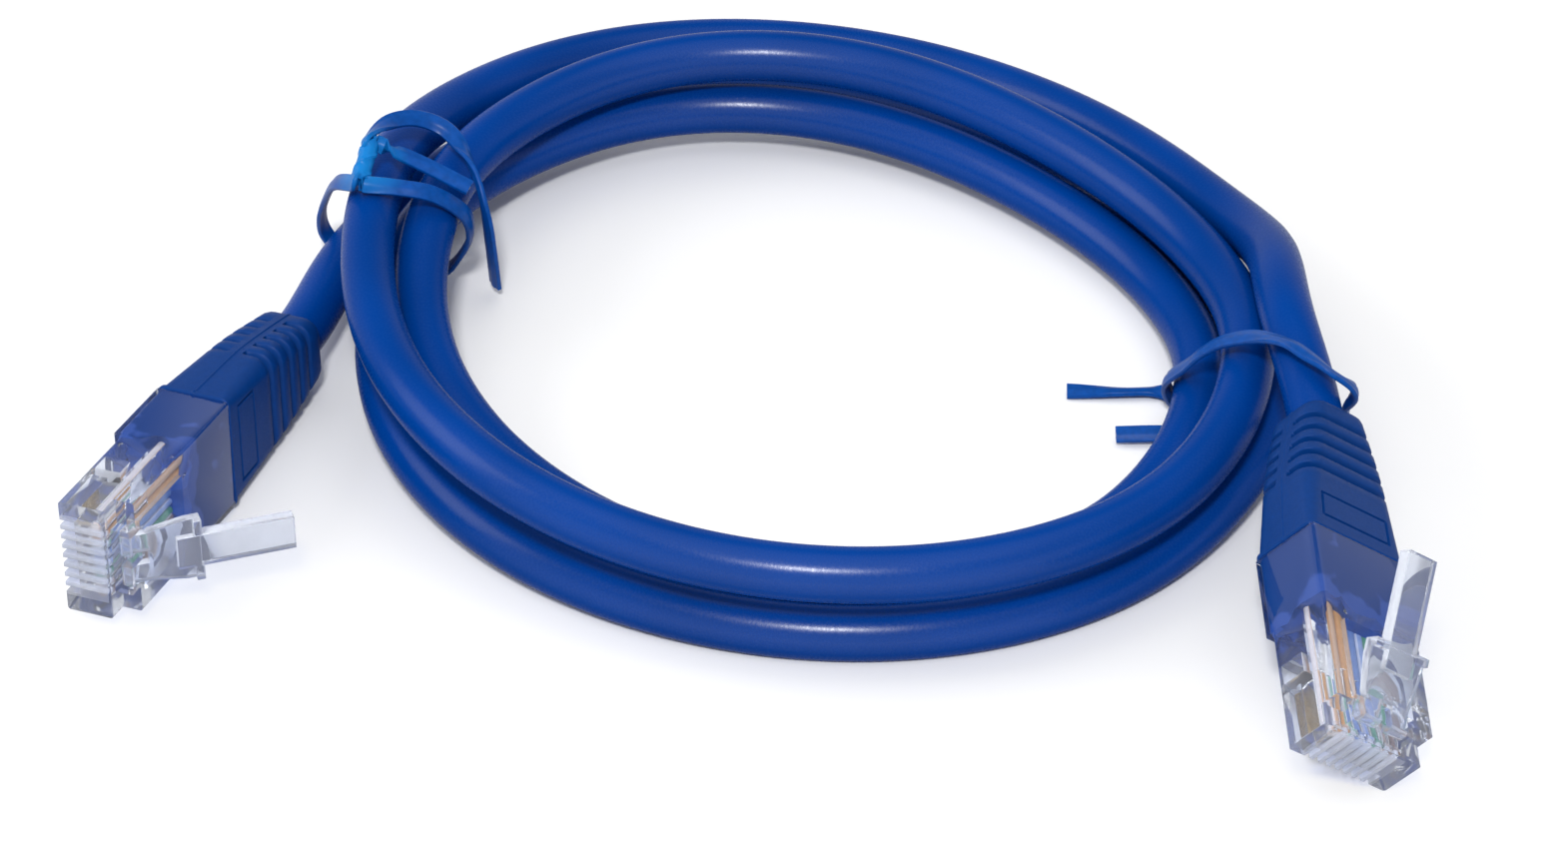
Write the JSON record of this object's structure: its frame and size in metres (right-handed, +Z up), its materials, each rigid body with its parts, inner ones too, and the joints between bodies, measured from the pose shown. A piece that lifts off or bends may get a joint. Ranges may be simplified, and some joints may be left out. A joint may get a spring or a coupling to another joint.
{
  "type": "ethernet patch cable",
  "caption": "Network patch cable with a clear modular plug and a moulded strain relief boot at each end, wound into a coil and held by twist ties.",
  "frame": {"origin": "on the surface that the cable lies on, under the middle of the box round the two plugs and the two ties", "axes": "+Z up, +X to the right along the long side of the wound cable, +Y away from the plugs towards the back of the coil"},
  "size_m": [0.1231, 0.1226, 0.0199],
  "materials": {
    "clear_polycarbonate": "clear, injection moulded, faint blue-grey tint",
    "filler_pvc": "overmoulded blue PVC seen through the clear plug",
    "boot_pvc": "satin blue moulded PVC",
    "jacket_pvc": "satin blue extruded PVC jacket",
    "contact_gold": "gold plated phosphor bronze",
    "tie_pvc": "brighter blue flat PVC",
    "tie_steel": "bare drawn wire inside the tie",
    "wire_white_orange": "polyethylene insulation, white and orange",
    "wire_orange": "polyethylene insulation, orange",
    "wire_white_green": "polyethylene insulation, white and green",
    "wire_blue": "polyethylene insulation, blue",
    "wire_white_blue": "polyethylene insulation, white and blue",
    "wire_green": "polyethylene insulation, green",
    "wire_white_brown": "polyethylene insulation, white and brown",
    "wire_brown": "polyethylene insulation, brown"
  },
  "bodies": {
    "patch_cable": {"housing_a": "clear_polycarbonate", "clamp_bar_a": "clear_polycarbonate", "filler_a": "filler_pvc", "boot_a": "boot_pvc", "housing_b": "clear_polycarbonate", "clamp_bar_b": "clear_polycarbonate", "filler_b": "filler_pvc", "boot_b": "boot_pvc", "contact_a1": "contact_gold", "contact_a2": "contact_gold", "contact_a3": "contact_gold", "contact_a4": "contact_gold", "contact_a5": "contact_gold", "contact_a6": "contact_gold", "contact_a7": "contact_gold", "contact_a8": "contact_gold", "contact_b1": "contact_gold", "contact_b2": "contact_gold", "contact_b3": "contact_gold", "contact_b4": "contact_gold", "contact_b5": "contact_gold", "contact_b6": "contact_gold", "contact_b7": "contact_gold", "contact_b8": "contact_gold", "wire_a1": "wire_white_orange", "wire_a2": "wire_orange", "wire_a3": "wire_white_green", "wire_a4": "wire_blue", "wire_a5": "wire_white_blue", "wire_a6": "wire_green", "wire_a7": "wire_white_brown", "wire_a8": "wire_brown", "wire_b1": "wire_white_orange", "wire_b2": "wire_orange", "wire_b3": "wire_white_green", "wire_b4": "wire_blue", "wire_b5": "wire_white_blue", "wire_b6": "wire_green", "wire_b7": "wire_white_brown", "wire_b8": "wire_brown", "cable_lead_a": "jacket_pvc", "cable_coil": "jacket_pvc", "cable_lead_b": "jacket_pvc", "tie_left": "tie_pvc", "tie_core_left": "tie_steel", "tie_right": "tie_pvc", "tie_core_right": "tie_steel"},
    "latch_a": {"latch_a": "clear_polycarbonate"},
    "latch_b": {"latch_b": "clear_polycarbonate"}
  },
  "joints": [
    {"name": "latch_a_press", "type": "hinge", "parent": "patch_cable", "child": "latch_a", "pos_m": [-0.05561, -0.01663, 0.00754], "axis": [-0.0095, 0.0696, 0.9975], "range_deg": [0, 42], "stiffness_Nm_per_rad": 0.02},
    {"name": "latch_b_press", "type": "hinge", "parent": "patch_cable", "child": "latch_b", "pos_m": [0.05583, -0.04112, 0.00832], "axis": [-0.775, -0.2113, 0.5956], "range_deg": [0, 20], "stiffness_Nm_per_rad": 0.02}
  ]
}
